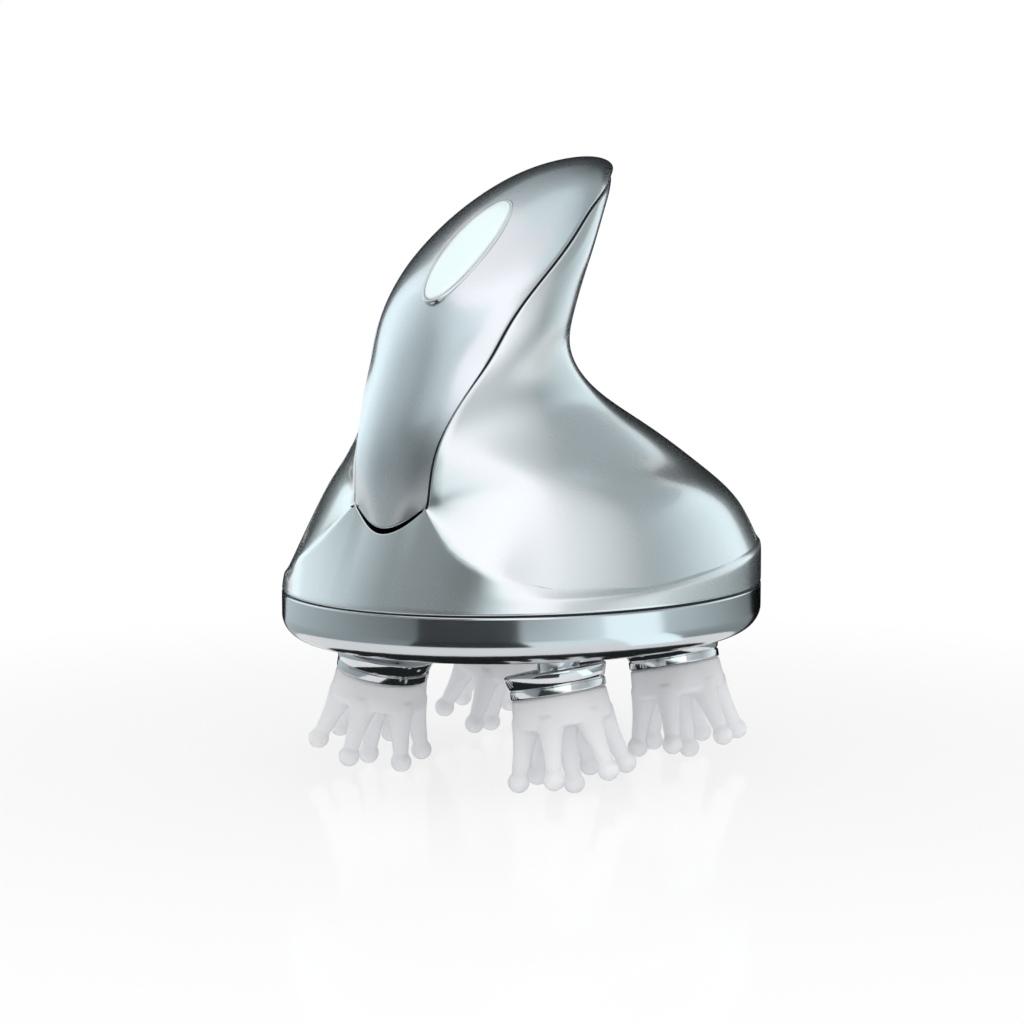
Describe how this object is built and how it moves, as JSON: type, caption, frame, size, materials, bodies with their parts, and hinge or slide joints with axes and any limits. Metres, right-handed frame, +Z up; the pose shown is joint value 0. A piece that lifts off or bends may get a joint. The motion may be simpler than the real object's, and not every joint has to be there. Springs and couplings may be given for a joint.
{
  "type": "electric scalp massager",
  "caption": "Hand-held electric scalp massager with an oval body, curled grip, press button and tilted rotating heads of soft rounded fingers.",
  "frame": {"origin": "on the surface it stands on, under the centre of the oval body", "axes": "+X toward the side the grip curls over, +Y to the left seen from behind the button, +Z up along the head shafts"},
  "size_m": [0.132, 0.114, 0.1534],
  "materials": {
    "body_paint": "satin silver metallic paint",
    "cover_paint": "satin blue-silver metallic paint",
    "plated": "polished chrome plating",
    "holder_plated": "polished chrome plating",
    "gasket": "matte",
    "base_plastic": "satin grey",
    "frame_plastic": "fine matte",
    "gear_plastic": "natural acetal",
    "brass_parts": "turned",
    "steel": "bright",
    "contact_gold": "gold plated",
    "silicone": "translucent satin silicone",
    "cell_wrap": "shrink wrap",
    "circuit": "solder mask",
    "flex": "polyimide film",
    "dark_plastic": "moulded",
    "led": "clear lens",
    "button_frame": "satin silver",
    "button_cap": "translucent pale cyan"
  },
  "bodies": {
    "housing": {"body_shell": "body_paint", "handle_cover": "cover_paint", "seam_gasket": "gasket", "lower_ring": "plated", "base_plate": "base_plastic", "gear_cover": "frame_plastic", "shaft_bushes": "brass_parts", "shaft_seals": "gasket", "row_axles": "steel", "base_screws": "steel", "cover_screws": "steel", "charge_contacts": "contact_gold", "gearmotor": "steel", "motor_screws": "steel", "battery_holder": "frame_plastic", "cell_right": "cell_wrap", "cell_left": "cell_wrap", "cell_contacts": "steel", "control_board": "circuit", "ribbon_cable": "flex", "motor_lead": "flex", "charge_lead": "flex", "button_housing": "button_frame", "button_board": "circuit", "tact_switch": "dark_plastic", "status_leds": "led", "button_seal": "gasket"},
    "head_fr": {"head_gear_fr": "gear_plastic", "head_shaft_fr": "steel", "shaft_clip_fr": "steel", "head_holder_fr": "holder_plated", "massage_head_fr": "silicone"},
    "head_fl": {"head_gear_fl": "gear_plastic", "head_shaft_fl": "steel", "shaft_clip_fl": "steel", "head_holder_fl": "holder_plated", "massage_head_fl": "silicone"},
    "head_rr": {"head_gear_rr": "gear_plastic", "head_shaft_rr": "steel", "shaft_clip_rr": "steel", "head_holder_rr": "holder_plated", "massage_head_rr": "silicone"},
    "head_rl": {"head_gear_rl": "gear_plastic", "head_shaft_rl": "steel", "shaft_clip_rl": "steel", "head_holder_rl": "holder_plated", "massage_head_rl": "silicone"},
    "right_train": {"row_gear_right": "gear_plastic", "drive_gear": "gear_plastic"},
    "left_train": {"row_gear_left": "gear_plastic"},
    "motor_output": {"output_shaft": "steel", "motor_pinion": "brass_parts"},
    "button": {"power_button": "button_cap"}
  },
  "joints": [
    {"name": "right_train_spin", "type": "hinge", "parent": "housing", "child": "right_train", "pos_m": [0.0024, -0.015, 0], "axis": [0, 0, 1], "continuous": true},
    {"name": "left_train_spin", "type": "hinge", "parent": "housing", "child": "left_train", "pos_m": [0.0024, 0.015, 0], "axis": [0, 0, 1], "continuous": true},
    {"name": "motor_spin", "type": "hinge", "parent": "housing", "child": "motor_output", "pos_m": [0.02433, -0.003, 0], "axis": [0, 0, 1], "continuous": true},
    {"name": "head_fr_spin", "type": "hinge", "parent": "housing", "child": "head_fr", "pos_m": [0.02893, -0.0267, 0], "axis": [0, 0, 1], "continuous": true},
    {"name": "head_fl_spin", "type": "hinge", "parent": "housing", "child": "head_fl", "pos_m": [0.02893, 0.0267, 0], "axis": [0, 0, 1], "continuous": true},
    {"name": "head_rr_spin", "type": "hinge", "parent": "housing", "child": "head_rr", "pos_m": [-0.02414, -0.0267, 0], "axis": [0, 0, 1], "continuous": true},
    {"name": "head_rl_spin", "type": "hinge", "parent": "housing", "child": "head_rl", "pos_m": [-0.02414, 0.0267, 0], "axis": [0, 0, 1], "continuous": true},
    {"name": "button_press", "type": "slide", "parent": "housing", "child": "button", "axis": [0.6071, 0, -0.7946], "range_m": [0, 0.0006], "stiffness_N_per_m": 800, "springref_m": -0.0006, "deforming": ["button_seal"]}
  ],
  "couplings": [
    {"joint": "left_train_spin", "follows": "right_train_spin", "ratio": -1},
    {"joint": "motor_spin", "follows": "right_train_spin", "ratio": -2.5714},
    {"joint": "head_fr_spin", "follows": "right_train_spin", "ratio": -1.0714},
    {"joint": "head_fl_spin", "follows": "right_train_spin", "ratio": 1.0714},
    {"joint": "head_rr_spin", "follows": "right_train_spin", "ratio": -1.0714},
    {"joint": "head_rl_spin", "follows": "right_train_spin", "ratio": 1.0714}
  ]
}
